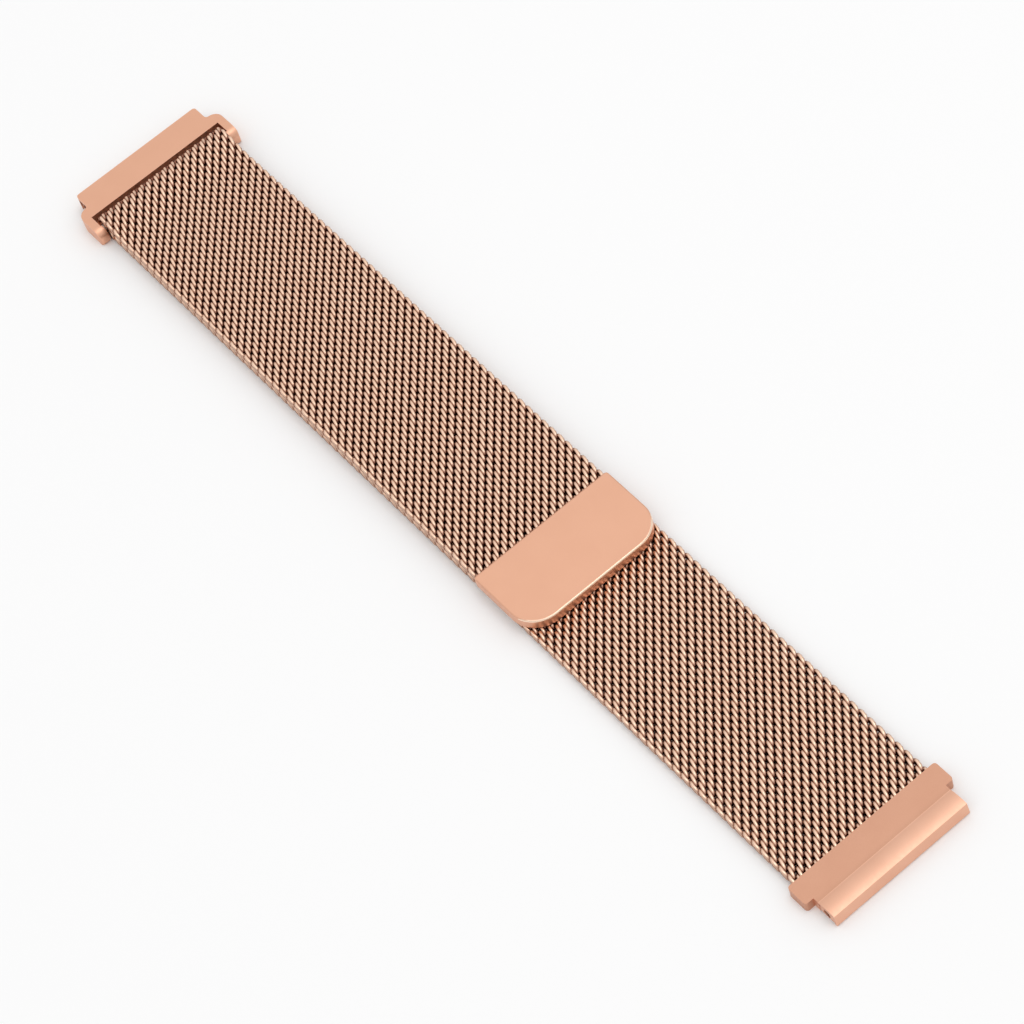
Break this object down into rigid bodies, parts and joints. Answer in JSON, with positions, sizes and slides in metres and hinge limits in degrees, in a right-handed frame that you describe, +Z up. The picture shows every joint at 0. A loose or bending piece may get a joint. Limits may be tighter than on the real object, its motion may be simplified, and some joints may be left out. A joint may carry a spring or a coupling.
{
  "type": "smartwatch strap",
  "caption": "Woven steel mesh watch strap folded through a slotted loop end and held by a magnetic clasp plate, with a formed fixed end.",
  "frame": {"origin": "under the middle of the strap's bounding box, on the surface that it lies on", "axes": "+X along the strap to its fixed end, +Y across its width, +Z up"},
  "size_m": [0.164, 0.0256, 0.0037],
  "materials": {
    "woven_mesh": "rose-gold plated woven steel wire",
    "satin_fitting": "rose-gold plated steel, satin",
    "bare_steel": "plain stainless steel",
    "magnet": "nickel-plated magnet"
  },
  "bodies": {
    "loop_end": {"loop_end_cover": "satin_fitting", "loop_end_base": "satin_fitting", "loop_end_tube": "bare_steel", "loop_crossbar": "bare_steel"},
    "under_1": {"under_mesh_1": "woven_mesh", "fold_mesh": "woven_mesh"},
    "under_2": {"under_mesh_2": "woven_mesh"},
    "under_3": {"under_mesh_3": "woven_mesh"},
    "under_4": {"under_mesh_4": "woven_mesh"},
    "under_5": {"under_mesh_5": "woven_mesh"},
    "under_6": {"under_mesh_6": "woven_mesh"},
    "under_7": {"under_mesh_7": "woven_mesh"},
    "fixed_end": {"fixed_end_cover": "satin_fitting", "fixed_end_base": "satin_fitting", "fixed_end_clamp_bar": "bare_steel", "fixed_end_tube": "bare_steel"},
    "flap_1": {"flap_mesh_1": "woven_mesh"},
    "flap_2": {"flap_mesh_2": "woven_mesh"},
    "flap_3": {"flap_mesh_3": "woven_mesh"},
    "flap_4": {"flap_mesh_4": "woven_mesh"},
    "clasp": {"clasp_cover": "satin_fitting", "clasp_base": "satin_fitting", "clasp_clamp_bar": "bare_steel", "clasp_magnets": "magnet", "clasp_yoke": "bare_steel"}
  },
  "joints": [
    {"name": "loop_swing", "type": "hinge", "parent": "loop_end", "child": "under_1", "pos_m": [-0.0747, 0, 0.00195], "axis": [0, 1, 0], "range_deg": [-15, 70]},
    {"name": "mesh_bend_1", "type": "hinge", "parent": "under_1", "child": "under_2", "pos_m": [-0.0532, 0, 0.00085], "axis": [0, 1, 0], "range_deg": [-15, 40]},
    {"name": "mesh_bend_2", "type": "hinge", "parent": "under_2", "child": "under_3", "pos_m": [-0.0317, 0, 0.00085], "axis": [0, 1, 0], "range_deg": [-15, 40]},
    {"name": "mesh_bend_3", "type": "hinge", "parent": "under_3", "child": "under_4", "pos_m": [-0.0102, 0, 0.00085], "axis": [0, 1, 0], "range_deg": [-15, 40]},
    {"name": "mesh_bend_4", "type": "hinge", "parent": "under_4", "child": "under_5", "pos_m": [0.0113, 0, 0.00085], "axis": [0, 1, 0], "range_deg": [-15, 40]},
    {"name": "mesh_bend_5", "type": "hinge", "parent": "under_5", "child": "under_6", "pos_m": [0.0247, 0, 0.00085], "axis": [0, 1, 0], "range_deg": [-15, 40]},
    {"name": "mesh_bend_6", "type": "hinge", "parent": "under_6", "child": "under_7", "pos_m": [0.0494, 0, 0.00085], "axis": [0, 1, 0], "range_deg": [-15, 40]},
    {"name": "fixed_end_bend", "type": "hinge", "parent": "under_7", "child": "fixed_end", "pos_m": [0.0741, 0, 0.00085], "axis": [0, 1, 0], "range_deg": [-15, 40]},
    {"name": "flap_lift", "type": "hinge", "parent": "under_1", "child": "flap_1", "pos_m": [-0.0747, 0, 0.00195], "axis": [0, -1, 0], "range_deg": [0, 85]},
    {"name": "flap_bend_1", "type": "hinge", "parent": "flap_1", "child": "flap_2", "pos_m": [-0.0532, 0, 0.00085], "axis": [0, 1, 0], "range_deg": [-15, 40]},
    {"name": "flap_bend_2", "type": "hinge", "parent": "flap_2", "child": "flap_3", "pos_m": [-0.0317, 0, 0.00085], "axis": [0, 1, 0], "range_deg": [-15, 40]},
    {"name": "flap_bend_3", "type": "hinge", "parent": "flap_3", "child": "flap_4", "pos_m": [-0.0102, 0, 0.00085], "axis": [0, 1, 0], "range_deg": [-15, 40]},
    {"name": "flap_bend_4", "type": "hinge", "parent": "flap_4", "child": "clasp", "pos_m": [0.0113, 0, 0.00085], "axis": [0, 1, 0], "range_deg": [-15, 40]}
  ],
  "couplings": [
    {"joint": "flap_bend_1", "follows": "mesh_bend_1", "ratio": 1},
    {"joint": "flap_bend_2", "follows": "mesh_bend_2", "ratio": 1},
    {"joint": "flap_bend_3", "follows": "mesh_bend_3", "ratio": 1},
    {"joint": "flap_bend_4", "follows": "mesh_bend_4", "ratio": 1}
  ]
}
